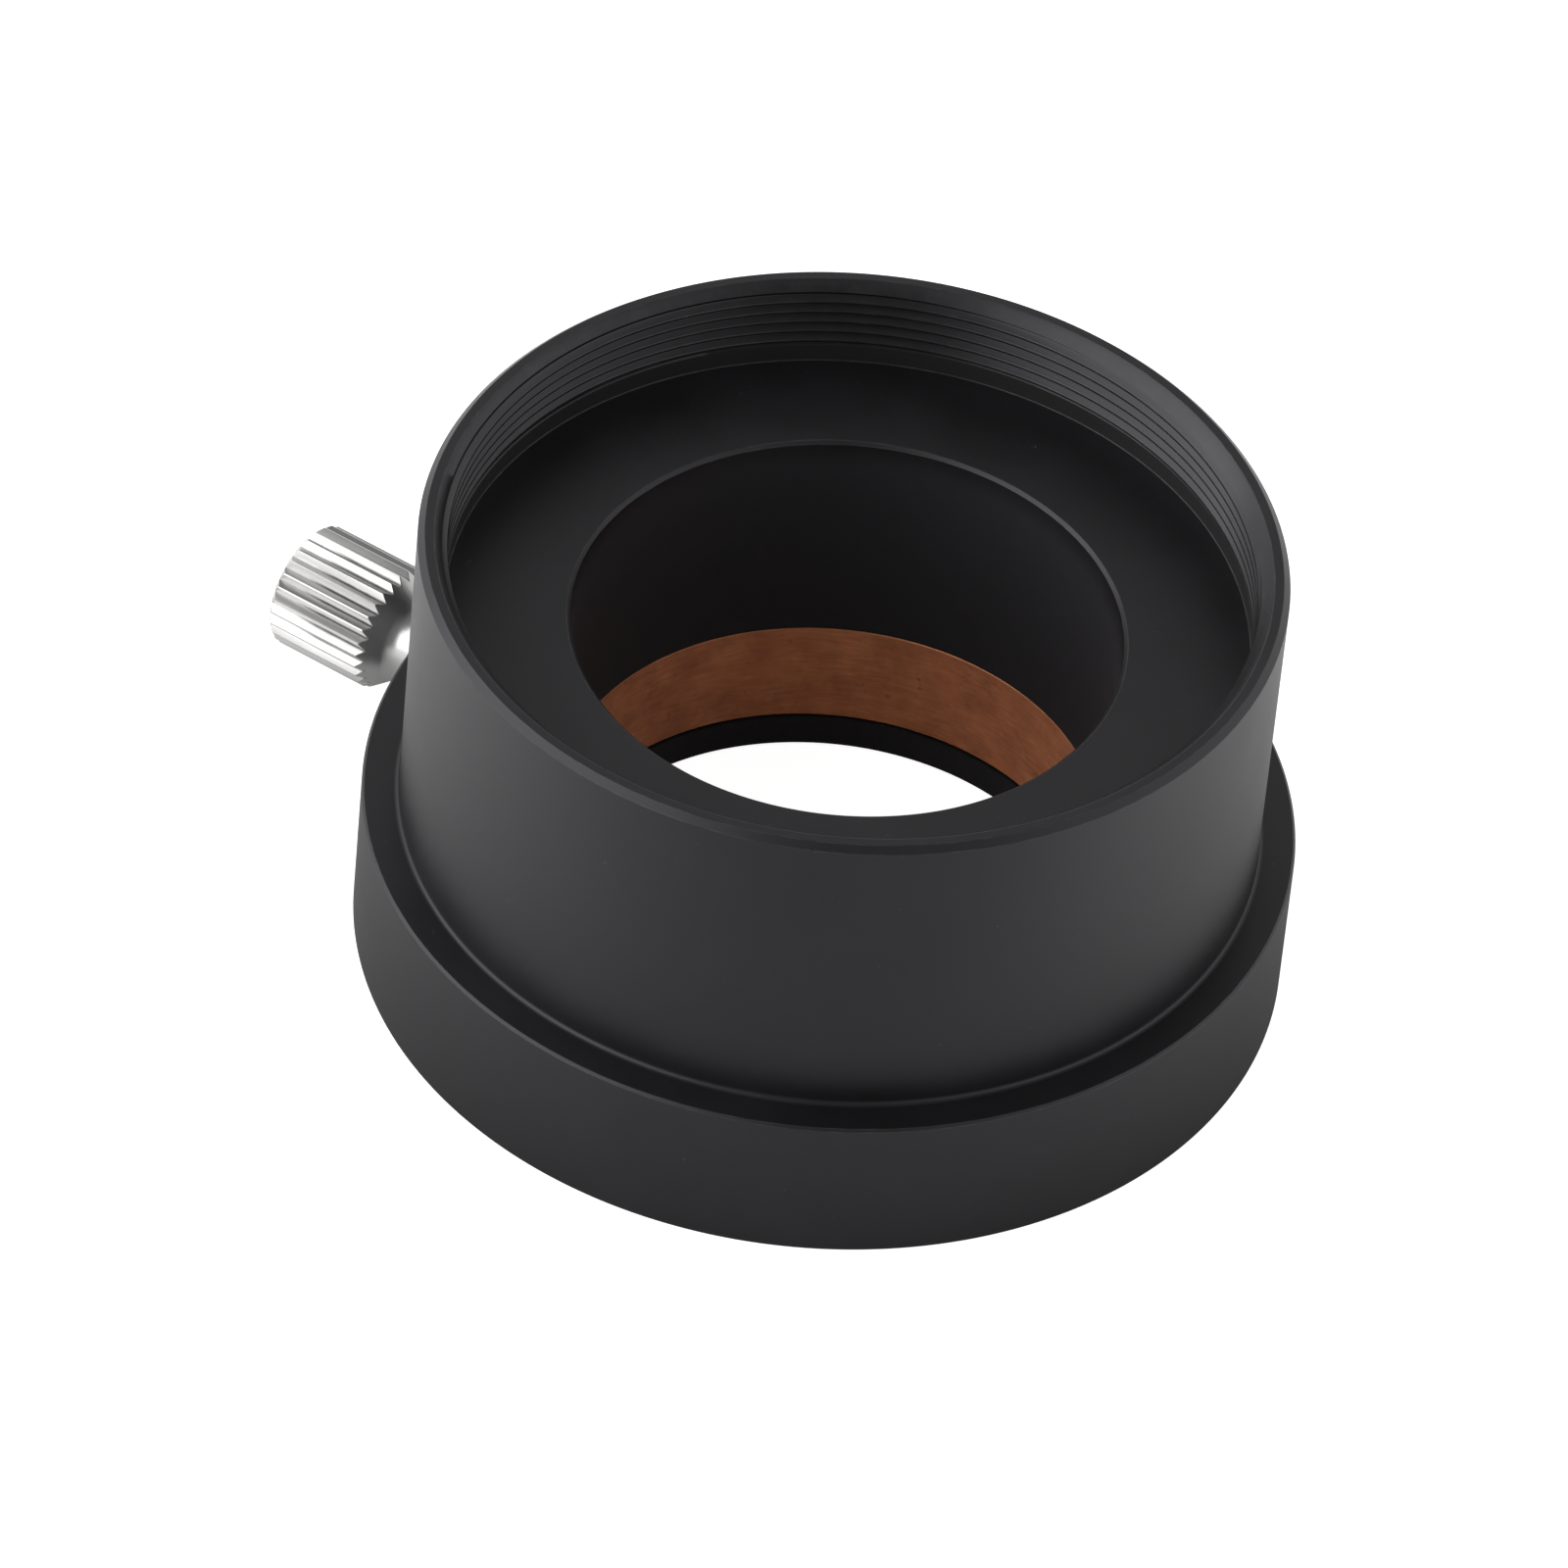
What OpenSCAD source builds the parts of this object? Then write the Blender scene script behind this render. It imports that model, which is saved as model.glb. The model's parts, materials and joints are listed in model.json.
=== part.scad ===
// Eyepiece adapter: holds a 1.25 inch eyepiece in a 2 inch telescope focuser.
// It stands on its eyepiece end with the nose up. Z is the optical axis.
// The clamp screw lies along X, with its head on the -X side. Sizes are in mm.

/* [Nose barrel] */
// Outside diameter of the nose, the 2 inch size
barrel_d = 50.8; // [49.5:0.1:52]
// Length of the nose above the flange
barrel_l = 20; // [16:0.5:30]
// Bevel round the outer edge of the rim
rim_bevel = 0.4; // [0.2:0.05:0.6]
// Fillet where the nose meets the flange
root_fillet = 0.4; // [0.2:0.05:0.8]

/* [Filter thread] */
// Major diameter of the M48 thread inside the nose
thread_d = 48; // [46:0.1:48.5]
// Depth from the rim down to the floor
recess_depth = 5.7; // [4:0.1:8]
// Height of the thread's ridges above its root
thread_h = 0.4; // [0.3:0.05:0.6]
// Height of the plain band between the floor and the thread
band_h = 1.2; // [0.6:0.1:2]
// Lead-in bevel at the mouth of the thread
lead_in = 0.45; // [0.2:0.05:0.6]

/* [Eyepiece end] */
// Outside diameter of the flange
flange_d = 55.2; // [54:0.1:60]
// Height of the flange
flange_h = 9.7; // [9.5:0.1:14]
// Bevel round both edges of the flange
flange_bevel = 0.15; // [0.1:0.05:0.6]
// Bore for the 31.75 mm eyepiece barrel
bore_d = 31.9; // [31.8:0.05:32.2]
// Bevel where the bore meets the floor of the nose
mouth_bevel = 0.3; // [0.1:0.05:0.5]
// Bevel at the foot of the bore
foot_bevel = 0.2; // [0.1:0.05:0.5]

/* [Compression ring] */
// Height of the lip below the ring
lip_h = 2.3; // [1.5:0.1:3]
// Height of the ring
ring_h = 7; // [5:0.1:7]
// Thickness of the ring
ring_t = 0.8; // [0.5:0.05:1.2]
// How far the open ring stands back from the bore
ring_setback = 0.1; // [0.05:0.05:0.2]
// Gap between the two ends of the ring
ring_split = 2.5; // [1:0.1:5]
// Gap above and below the ring in its groove
ring_side_gap = 0.05; // [0.03:0.01:0.15]
// Gap behind the ring, which it crosses as the screw tightens
ring_back_gap = 0.4; // [0.4:0.05:0.8]

/* [Thumbscrew] */
// Nominal diameter of the tapped hole, M4
screw_d = 4; // [3:0.5:4]
// Radial clearance of the shank in its hole
screw_clearance = 0.05; // [0.02:0.01:0.1]
// Gap between the tip and the ring
tip_gap = 0.05; // [0.02:0.01:0.1]
// Diameter of the plain tip that bears on the ring
tip_d = 2.8; // [2:0.1:2.8]
// Length of the plain tip
tip_l = 1.2; // [0.6:0.1:2]
// Open shank between the flange and the neck
shank_gap = 1; // [0.6:0.1:3]
// Diameter of the polished neck
neck_d = 5.2; // [4.6:0.1:6]
// Length of the polished neck
neck_l = 1.3; // [0.8:0.1:4]
// Diameter over the flutes of the head
head_d = 7.8; // [7:0.1:9]
// Length of the conical shoulder under the head
shoulder_l = 1.6; // [1:0.1:2.5]
// Length of the fluted head
head_l = 6.5; // [5:0.1:12]
// Number of flutes round the head
flutes = 28; // [20:2:36]
// Depth of each flute
flute_depth = 0.35; // [0.2:0.05:0.4]
// Bevel at the outer end of the head
head_bevel = 0.3; // [0.1:0.05:0.5]

/* [Hidden] */
$fn = 128;
barrel_r = barrel_d / 2;
flange_r = flange_d / 2;
thread_r = thread_d / 2;
bore_r = bore_d / 2;
total_h = flange_h + barrel_l;
floor_z = total_h - recess_depth;
// The plain band is as wide as the thread's ridges leave the recess
core_r = thread_r - thread_h;
thread_z = floor_z + band_h;
// Groove for the ring
groove_h = ring_h + 2 * ring_side_gap;
ring_in_r = bore_r + ring_setback;
ring_out_r = ring_in_r + ring_t;
groove_r = ring_out_r + ring_back_gap;
// Screw, measured outwards from the optical axis at the middle of the ring
screw_z = lip_h + groove_h / 2;
screw_r = screw_d / 2;
shank_r = screw_r - screw_clearance;
tip_r = tip_d / 2;
neck_r = neck_d / 2;
head_r = head_d / 2;
tip_at = ring_out_r + tip_gap;
neck_at = flange_r + shank_gap;
shoulder_at = neck_at + neck_l;
head_at = shoulder_at + shoulder_l;
head_end = head_at + head_l;
// Flute flanks run past the head, which leaves a narrow land on each crest
crest_over = 0.05;
hole_bevel = 0.3;
// Overshoot of the cutting shapes
over = 1;

// Outline of the turned body from the axis outwards
module body_outline() {
  polygon([
    [0, 0],
    [flange_r - flange_bevel, 0],
    [flange_r, flange_bevel],
    [flange_r, flange_h - flange_bevel],
    [flange_r - flange_bevel, flange_h],
    [barrel_r, flange_h],
    [barrel_r, total_h - rim_bevel],
    [barrel_r - rim_bevel, total_h],
    [0, total_h]
  ]);
}

// Ring of metal left in the corner between flange and nose
module root_corner() {
  difference() {
    translate([barrel_r - over, flange_h - over])
      square([over + root_fillet, over + root_fillet]);
    translate([barrel_r + root_fillet, flange_h + root_fillet])
      circle(r = root_fillet);
  }
}

// Everything bored out of the body: bore, ring groove and threaded recess
module body_hollow() {
  polygon([
    [0, -over],
    [bore_r + foot_bevel + over, -over],
    [bore_r, foot_bevel],
    [bore_r, lip_h],
    [groove_r, lip_h],
    [groove_r, lip_h + groove_h],
    [bore_r, lip_h + groove_h],
    [bore_r, floor_z - mouth_bevel],
    [bore_r + mouth_bevel, floor_z],
    [core_r, floor_z],
    [core_r, thread_z],
    [thread_r, thread_z + thread_h],
    [thread_r, total_h - lead_in],
    [thread_r + lead_in + over, total_h + over],
    [0, total_h + over]
  ]);
}

// Lays a shape drawn along Z out along -X at the height of the screw
module on_screw_axis() {
  translate([0, 0, screw_z])
    rotate([0, -90, 0])
      children();
}

module body() {
  color([0.10, 0.10, 0.11])
    difference() {
      union() {
        rotate_extrude() body_outline();
        rotate_extrude() root_corner();
      }
      rotate_extrude() body_hollow();
      on_screw_axis()
        translate([0, 0, ring_out_r])
          cylinder(r = screw_r, h = flange_r);
      on_screw_axis()
        translate([0, 0, flange_r - screw_r - hole_bevel])
          cylinder(r1 = 0, r2 = screw_r + hole_bevel + over, h = screw_r + hole_bevel + over);
    }
}

module compression_ring() {
  color([0.45, 0.26, 0.14])
    translate([0, 0, lip_h + ring_side_gap])
      difference() {
        cylinder(r = ring_out_r, h = ring_h);
        translate([0, 0, -over])
          cylinder(r = ring_in_r, h = ring_h + 2 * over);
        translate([0, -ring_split / 2, -over])
          cube([groove_r + over, ring_split, ring_h + 2 * over]);
      }
}

// Star-shaped section of the fluted head
module flute_star() {
  step = 180 / flutes;
  polygon([
    for (i = [0 : 2 * flutes - 1])
      let (r = i % 2 == 0 ? head_r - flute_depth : head_r + crest_over)
        [r * cos(i * step), r * sin(i * step)]
  ]);
}

// Half outline of the head: shoulder cone, body and bevelled end
module head_outline() {
  polygon([
    [0, shoulder_at],
    [neck_r, shoulder_at],
    [head_r, head_at],
    [head_r, head_end - head_bevel],
    [head_r - head_bevel, head_end],
    [0, head_end]
  ]);
}

// Half outline of the plain tip, the shank and the neck
module stem_outline() {
  polygon([
    [0, tip_at],
    [tip_r - 0.2, tip_at],
    [tip_r, tip_at + 0.2],
    [tip_r, tip_at + tip_l],
    [shank_r, tip_at + tip_l + shank_r - tip_r],
    [shank_r, neck_at],
    [neck_r - 0.2, neck_at],
    [neck_r, neck_at + 0.2],
    [neck_r, shoulder_at + 0.1],
    [0, shoulder_at + 0.1]
  ]);
}

module thumbscrew() {
  color([0.82, 0.82, 0.84])
    on_screw_axis()
      union() {
        rotate_extrude() stem_outline();
        intersection() {
          rotate_extrude() head_outline();
          translate([0, 0, shoulder_at - over])
            linear_extrude(height = head_end - shoulder_at + 2 * over)
              flute_star();
        }
      }
}

body();
compression_ring();
thumbscrew();
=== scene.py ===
"""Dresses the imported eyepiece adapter.

The black anodised body, the copper-brown clamping ring and the plated thumbscrew replace the nodes
of the CAD, whose boxes give their places and outer sizes. The meshes have rounded edges, real
threads and procedural finishes. All lengths are in metres, in the frame of the CAD.
"""

import json
import math

import bmesh
import bpy
from mathutils import Matrix, Vector

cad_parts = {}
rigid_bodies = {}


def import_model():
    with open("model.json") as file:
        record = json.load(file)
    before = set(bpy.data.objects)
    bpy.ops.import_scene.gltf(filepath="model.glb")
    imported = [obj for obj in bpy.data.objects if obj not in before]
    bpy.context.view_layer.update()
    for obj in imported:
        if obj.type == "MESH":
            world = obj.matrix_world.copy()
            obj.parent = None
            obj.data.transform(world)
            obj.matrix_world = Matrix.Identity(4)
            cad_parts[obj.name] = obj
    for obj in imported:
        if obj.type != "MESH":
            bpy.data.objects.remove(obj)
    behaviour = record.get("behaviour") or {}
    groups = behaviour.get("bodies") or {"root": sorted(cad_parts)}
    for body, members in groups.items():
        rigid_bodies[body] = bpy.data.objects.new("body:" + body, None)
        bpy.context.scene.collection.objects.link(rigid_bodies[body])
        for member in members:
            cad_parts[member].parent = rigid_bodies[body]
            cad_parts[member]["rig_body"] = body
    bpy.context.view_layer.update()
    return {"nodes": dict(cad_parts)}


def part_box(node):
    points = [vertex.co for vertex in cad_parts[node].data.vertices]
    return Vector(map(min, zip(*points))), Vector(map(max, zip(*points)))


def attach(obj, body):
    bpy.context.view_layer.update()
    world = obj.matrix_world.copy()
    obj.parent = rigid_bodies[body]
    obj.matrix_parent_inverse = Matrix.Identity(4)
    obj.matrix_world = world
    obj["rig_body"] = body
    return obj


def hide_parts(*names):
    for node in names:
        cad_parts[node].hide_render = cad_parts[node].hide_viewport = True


bl_info = {
    "name": "Eyepiece adapter",
    "version": (1, 0, 0),
    "blender": (4, 5, 0),
    "location": "3D View > Sidebar > Adapter",
    "description": "Builds the looks of a stepped eyepiece adapter around its CAD frame",
    "category": "Add Mesh",
}

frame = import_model()

MM = 0.001
TURN = 2 * math.pi
# Columns of vertices round each form
BODY_COLUMNS = 336
RING_COLUMNS = 200
SHANK_COLUMNS = 56
HOLE_COLUMNS = 72
# Steps over each rounded edge
ARC_STEPS = 4
# Flats on the inside and the outside of a thread, as shares of its pitch
INNER_FLAT, OUTER_FLAT = 0.25, 0.125
WHITE = (1.0, 1.0, 1.0, 1.0)
# How rubbed the plain band and the thread of the recess are
BAND_RUB, THREAD_RUB = 1.0, 0.4
# Height of the screw's axis: the middle of the ring
SCREW_HEIGHT = sum(corner.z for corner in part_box("compression_ring")) / 2
# Distance from a rounded edge to the row that keeps the flat beside it flat
SUPPORT = 0.03 * MM
# Angle above which an edge is shaded as sharp
CREASE = math.radians(38)


# Settings


def length(name, description, millimetres):
    """A size that a user can change, given here in millimetres."""
    return bpy.props.FloatProperty(
        name=name,
        description=description,
        default=millimetres * MM,
        min=0,
        unit="LENGTH",
        precision=5,
    )


def colour(name, description, value):
    """A base colour, in linear light."""
    return bpy.props.FloatVectorProperty(
        name=name, description=description, default=value, min=0, max=1, size=3, subtype="COLOR"
    )


def share(name, description, value, top=1.0):
    """A plain number from nought to its top."""
    return bpy.props.FloatProperty(
        name=name,
        description=description,
        default=value,
        min=0,
        max=top,
        subtype="FACTOR",
        precision=3,
    )


def degrees(name, description, value):
    """An angle, given here in degrees."""
    return bpy.props.FloatProperty(
        name=name, description=description, default=math.radians(value), subtype="ANGLE"
    )


class NoseSizes(bpy.types.PropertyGroup):
    """Sizes of the turned body."""

    flange_height: length("Flange height", "Height of the wide eyepiece end", 9.7)
    barrel_radius: length("Nose radius", "Outside radius of the 2 inch nose", 25.4)
    bore_radius: length("Bore radius", "Radius of the eyepiece bore", 15.95)
    floor_depth: length("Recess depth", "From the rim down to the floor round the bore", 5.7)
    rim_bevel: length("Rim bevel", "Bevel on the outside of the rim", 0.4)
    lead_in: length("Thread lead-in", "Bevel at the mouth of the filter thread", 0.45)
    root_fillet: length("Root fillet", "Fillet between nose and flange", 0.3)
    flange_bevel: length("Flange bevel", "Bevel on both edges of the flange", 0.15)
    mouth_bevel: length("Mouth bevel", "Bevel where the bore meets the floor", 0.2)
    mouth_flare: length("Mouth flare", "How far the bore widens below that bevel", 0.25)
    mouth_depth: length(
        "Mouth depth", "Depth below the floor at which the bore begins to widen", 1.6
    )
    foot_bevel: length("Foot bevel", "Bevel at the foot of the bore", 0.2)
    thread_root: length("Thread root radius", "Major radius of the M48 filter thread", 24.0)
    thread_depth: length("Thread depth", "From the root to the crest of the filter thread", 0.4)
    thread_pitch: length("Thread pitch", "Rise of the filter thread in one turn", 0.75)
    band_height: length(
        "Plain band", "Height of the plain band between the floor and the thread", 1.2
    )
    edge_rounding: length("Edge rounding", "Radius left on each turned edge", 0.06)


class ClampSizes(bpy.types.PropertyGroup):
    """Sizes of the ring's groove, the ring and the tapped hole."""

    groove_radius: length("Groove radius", "Radius of the groove that holds the ring", 17.25)
    side_gap: length("Side gap", "Gap above and below the ring in its groove", 0.05)
    thickness: length("Ring thickness", "Thickness of the ring", 0.8)
    split: length("Split", "Gap between the ends of the ring", 2.5)
    ring_rounding: length("Ring edge rounding", "Radius on the edges of the ring", 0.12)
    hole_radius: length("Hole radius", "Radius of the tapped hole", 2.0)
    hole_bevel: length("Hole bevel", "Countersink at the mouth of the tapped hole", 0.3)


class ThumbscrewSizes(bpy.types.PropertyGroup):
    """Sizes of the thumbscrew, measured outwards from its tip."""

    tip_radius: length("Tip radius", "Radius of the plain tip", 1.4)
    tip_length: length("Tip length", "Length of the plain tip", 1.2)
    shank_radius: length("Shank radius", "Crest radius of the screw's thread", 1.95)
    shank_depth: length("Shank thread depth", "From crest to root of the screw's thread", 0.38)
    shank_pitch: length("Shank thread pitch", "Travel of the screw in one turn", 0.7)
    neck_radius: length("Neck radius", "Radius of the polished neck", 2.6)
    neck_length: length("Neck length", "Length of the polished neck", 1.3)
    neck_fillet: length("Neck fillet", "Radius in the corner between the neck and the cone", 1.5)
    shoulder_length: length("Shoulder length", "Length of the cone under the head", 1.6)
    head_radius: length("Head radius", "Radius over the crests of the flutes", 3.9)
    head_length: length("Head length", "Length of the fluted head", 6.5)
    flute_depth: length("Flute depth", "Depth of each flute below the head radius", 0.35)
    crest_over: length(
        "Crest overrun", "How far the flanks would meet outside the head radius", 0.05
    )
    head_bevel: length("Head bevel", "Bevel at the outer end of the head", 0.3)
    flutes: bpy.props.IntProperty(
        name="Flutes", description="Flutes round the head", default=28, min=6
    )


class Finishes(bpy.types.PropertyGroup):
    """Colours and gloss of the three metals, and the colour of the painted shade in the flutes."""

    black: colour(
        "Anodised black", "Base colour of the anodised aluminium", (0.0068, 0.0065, 0.0074)
    )
    black_worn: colour(
        "Worn black", "Colour of the anodised edges where they are rubbed", (0.10, 0.097, 0.095)
    )
    black_matt: colour(
        "Matt black",
        "Colour of the anodising where filters have rubbed the recess",
        (0.016, 0.0142, 0.0134),
    )
    black_bore: colour(
        "Bore black", "Colour of the dull wall of the bore", (0.0105, 0.0105, 0.0125)
    )
    black_gloss: share("Black roughness", "Roughness of the anodised surface", 0.4)
    copper: colour("Ring brown", "Base colour of the clamping ring", (0.74, 0.25, 0.105))
    copper_pale: colour(
        "Ring pale", "Colour of the ring where it is rubbed bright", (0.92, 0.41, 0.20)
    )
    copper_dark: colour("Ring dark", "Colour of the ring's tarnish", (0.26, 0.085, 0.04))
    copper_gloss: share("Ring roughness", "Roughness of the clamping ring", 0.42)
    chrome: colour("Plating", "Base colour of the plated thumbscrew", (0.54, 0.535, 0.53))
    chrome_dull: colour(
        "Plating dull", "Colour of the plating where it is clouded", (0.42, 0.42, 0.43)
    )
    # Painted shade: the dark colour laid along the foot of each flute, where shade falls between
    # the flutes
    painted_valley_shade: colour("Grime", "Colour of the dirt along the foot of each flute", (0.09, 0.088, 0.085))
    chrome_gloss: share("Plating roughness", "Roughness of the plating", 0.29)


class StageLook(bpy.types.PropertyGroup):
    """Camera, floor and lights."""

    azimuth: degrees("Azimuth", "Turn of the camera round the optical axis", 30.8)
    elevation: degrees("Elevation", "Height angle of the camera", 42.31)
    roll: degrees("Roll", "Tilt of the camera about its own axis", 5.64)
    distance: length("Distance", "From the camera to the foot of the optical axis", 850)
    aside: length("Aside", "How far the camera stands left of the axis", 1.97)
    above: length("Above", "How far the camera stands above the axis", 8.42)
    lens: bpy.props.FloatProperty(
        name="Lens", description="Focal length on a 36 mm sensor, in mm", default=328.596, min=1
    )
    floor_tone: share("Floor tone", "Grey of the floor", 0.5)
    fill: share("Fill", "Strength of the even light all round", 1.0, 4)
    shade: share("Shade", "Strength of the dark slot, as a share of the white sides", 0.2)
    slot_fill: share(
        "Slot fill",
        "Strength of the even light from the slot, as a share of that from the sides",
        0.5,
    )
    slot_from: share(
        "Slot from", "Sideways share of a direction up to which the slot is dark", 0.28
    )
    slot_to: share("Slot to", "Sideways share of a direction from which the sides are white", 0.55)
    back_from: share("Back from", "Backward share of a direction up to which the slot is dark", 0.4)
    back_to: share("Back to", "Backward share of a direction from which the back is pale", 0.8)
    back: share("Back", "Strength of the pale back, as a share of the white sides", 1.0)
    back_left: share("Back left", "How far the pale back is turned to the left", 0.35)
    ceiling_from: share(
        "Ceiling from",
        "Upward share of a direction up to which the surroundings keep their strength",
        0.45,
    )
    ceiling_to: share(
        "Ceiling to", "Upward share of a direction from which the ceiling is dim", 0.68
    )
    ceiling: share("Ceiling", "Strength of the ceiling, as a share of what is below it", 0.13)
    floor_glow: share("Floor glow", "White added to the floor where the camera sees it", 0.92)
    floor_mirror: share("Floor mirrored", "White added to the floor where metal mirrors it", 0.92)
    # The painted shade on the photographer's side of the floor that metals mirror
    front: share(
        "Front",
        "Strength of the mirrored floor on the photographer's side, as a share of the rest",
        0.08,
    )
    front_from: length(
        "Front from",
        "Distance before the axis up to which the mirrored floor keeps its strength",
        32,
    )
    front_to: length(
        "Front to", "Distance before the axis from which the mirrored floor is dim", 56
    )
    # Where the painted shadow round the object lies in the floor that metals mirror
    near_from: length(
        "Shade from", "Distance from the axis where the mirrored floor is darkest", 30
    )
    near_to: length("Shade to", "Distance from the axis where the mirrored floor is white", 64)


# Outlines and rings of vertices


def rounded_outline(corners):
    """The outline through (radius, height, rounding) corners, with the corners rounded.

    Its points are (radius, height, edge), where edge is 1 on a rounding and 0 elsewhere.
    """
    outline = []
    for index, (radius, height, rounding) in enumerate(corners):
        here = Vector((radius, height))
        if index in (0, len(corners) - 1) or rounding == 0:
            outline.append((here.x, here.y, 0.0))
            continue
        back = (Vector(corners[index - 1][:2]) - here).normalized()
        ahead = (Vector(corners[index + 1][:2]) - here).normalized()
        half = back.angle(ahead) / 2
        reach = rounding / math.tan(half)
        centre = here + (back + ahead).normalized() * (rounding / math.sin(half))
        arm = here + back * reach - centre
        bend = math.pi - 2 * half
        if arm.x * ahead.y - arm.y * ahead.x < 0:
            bend = -bend
        before = here + back * (reach + SUPPORT)
        outline.append((before.x, before.y, 0.0))
        for step in range(ARC_STEPS + 1):
            angle = bend * step / ARC_STEPS
            cosine, sine = math.cos(angle), math.sin(angle)
            point = centre + Vector((arm.x * cosine - arm.y * sine, arm.x * sine + arm.y * cosine))
            outline.append((point.x, point.y, 1.0))
        after = here + ahead * (reach + SUPPORT)
        outline.append((after.x, after.y, 0.0))
    return outline


class Shell:
    """A bmesh whose vertices know how near an edge they lie and how far along the outline."""

    def __init__(self):
        self.bm = bmesh.new()
        self.edge = self.bm.verts.layers.float.new("edge")
        self.run = self.bm.verts.layers.float.new("run")

    def vertex(self, place, edge=0.0, run=0.0):
        """One vertex with its marks."""
        made = self.bm.verts.new(place)
        made[self.edge] = edge
        made[self.run] = run
        return made

    def marked(self, name, amount):
        """Gives each vertex a further mark, which a function works out from its place."""
        layer = self.bm.verts.layers.float.new(name)
        for vertex in self.bm.verts:
            vertex[layer] = amount(vertex.co)

    def face(self, corners):
        """A face through the corners, with those that meet counted once."""
        kept = [c for i, c in enumerate(corners) if c is not corners[i - 1]]
        if len(kept) > 2:
            self.bm.faces.new(kept)

    def turned(self, outline, angles, place):
        """One ring of vertices for each point of an outline."""
        rings = []
        run = 0.0
        for index, (radius, height, edge) in enumerate(outline):
            if index:
                run += math.hypot(radius - outline[index - 1][0], height - outline[index - 1][1])
            rings.append([self.vertex(place(radius, angle, height), edge, run) for angle in angles])
        return rings

    def skin(self, rings):
        """Faces between each ring and the next."""
        for lower, upper in zip(rings, rings[1:]):
            for k in range(len(lower)):
                n = (k + 1) % len(lower)
                self.face((lower[k], lower[n], upper[n], upper[k]))

    def helix(self, columns, pitch, low, high, section, place, bound):
        """A right-hand thread between two heights. Returns its lowest and highest rings.

        section lists (share of the pitch, radius, edge) over one pitch, and bound limits a radius
        by its height.
        """
        shares = [s[0] for s in section]
        per = len(section)
        rows = math.ceil((high - low) / pitch) * per + per + 1
        grid = []
        for column in range(columns):
            angle = TURN * column / columns
            line = []
            for row in range(rows + 1):
                raw = low - pitch + pitch * (row // per + shares[row % per])
                raw += pitch * column / columns
                height = min(max(raw, low), high)
                if line and height == line[-1][1] and height in (low, high):
                    line.append(line[-1])
                    continue
                turned = ((height - low) / pitch - column / columns) % 1.0
                radius, edge = self.across(section, turned)
                radius = bound(radius, height)
                line.append((self.vertex(place(radius, angle, height), edge, height), height))
            grid.append([vertex for vertex, _ in line])
        for column in range(columns):
            here, there = grid[column], grid[(column + 1) % columns]
            shift = per if column == columns - 1 else 0
            for row in range(rows - shift):
                self.face((here[row], there[row + shift], there[row + shift + 1], here[row + 1]))
        return [line[0] for line in grid], [line[-1] for line in grid]

    @staticmethod
    def across(section, turned):
        """Radius and edge mark of a thread's section at a share of its pitch."""
        wrapped = section + [(section[0][0] + 1.0,) + tuple(section[0][1:])]
        for first, second in zip(wrapped, wrapped[1:]):
            if first[0] <= turned <= second[0]:
                part = (turned - first[0]) / (second[0] - first[0])
                return (
                    first[1] + (second[1] - first[1]) * part,
                    first[2] + (second[2] - first[2]) * part,
                )
        return section[0][1:]

    def cap(self, ring):
        """A flat face over a ring."""
        self.bm.faces.new(ring)

    def mesh(self, name):
        """The finished mesh, with its faces turned outwards."""
        bmesh.ops.recalc_face_normals(self.bm, faces=self.bm.faces)
        made = bpy.data.meshes.new(name)
        self.bm.to_mesh(made)
        self.bm.free()
        return made


def even_angles(columns):
    """Angles of evenly spaced columns."""
    return [TURN * column / columns for column in range(columns)]


def upright(radius, angle, height):
    """A point round the optical axis."""
    return (radius * math.cos(angle), radius * math.sin(angle), height)


def along_screw(radius, angle, distance):
    """A point round the screw's axis, at a distance outwards from the optical axis."""
    return (-distance, radius * math.sin(angle), SCREW_HEIGHT + radius * math.cos(angle))


def thread_section(outer, inner, softness=0.035):
    """One pitch of a thread with rounded corners, as (share of the pitch, radius, edge)."""
    step = outer - inner
    near, far, foot = inner + 0.04 * step, inner + 0.16 * step, outer - 0.12 * step
    return [
        (0.0, inner, 1.0),
        (INNER_FLAT / 2 - softness, near, 1.0),
        (INNER_FLAT / 2 + softness, far, 0.7),
        (0.5 - OUTER_FLAT / 2 - softness, foot, 0.0),
        (0.5, outer, 0.0),
        (0.5 + OUTER_FLAT / 2 + softness, foot, 0.0),
        (1.0 - INNER_FLAT / 2 - softness, far, 0.7),
        (1.0 - INNER_FLAT / 2 + softness, near, 1.0),
    ]


def finished_piece(name, mesh, node, material):
    """Puts a mesh into the scene in place of its CAD node, on the body that carries it."""
    mesh.shade_smooth()
    mesh.set_sharp_from_angle(angle=CREASE)
    piece = bpy.data.objects.new(name, mesh)
    bpy.context.scene.collection.objects.link(piece)
    mesh.materials.clear()
    mesh.materials.append(material)
    body = frame["nodes"][node]["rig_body"]
    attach(piece, body)
    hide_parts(node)


# Shader nodes


class Signal:
    """An output socket that works in Python expressions: each operator adds its Math node."""

    def __init__(self, nodes, socket):
        self.nodes = nodes
        self.socket = socket

    def math(self, operation, first, second):
        """A Math node on two values."""
        return self.nodes.add("ShaderNodeMath", {"operation": operation}, {0: first, 1: second})

    def __add__(self, other):
        return self.math("ADD", self, other)

    __radd__ = __add__

    def __sub__(self, other):
        return self.math("SUBTRACT", self, other)

    def __rsub__(self, other):
        return self.math("SUBTRACT", other, self)

    def __mul__(self, other):
        return self.math("MULTIPLY", self, other)

    __rmul__ = __mul__


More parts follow.
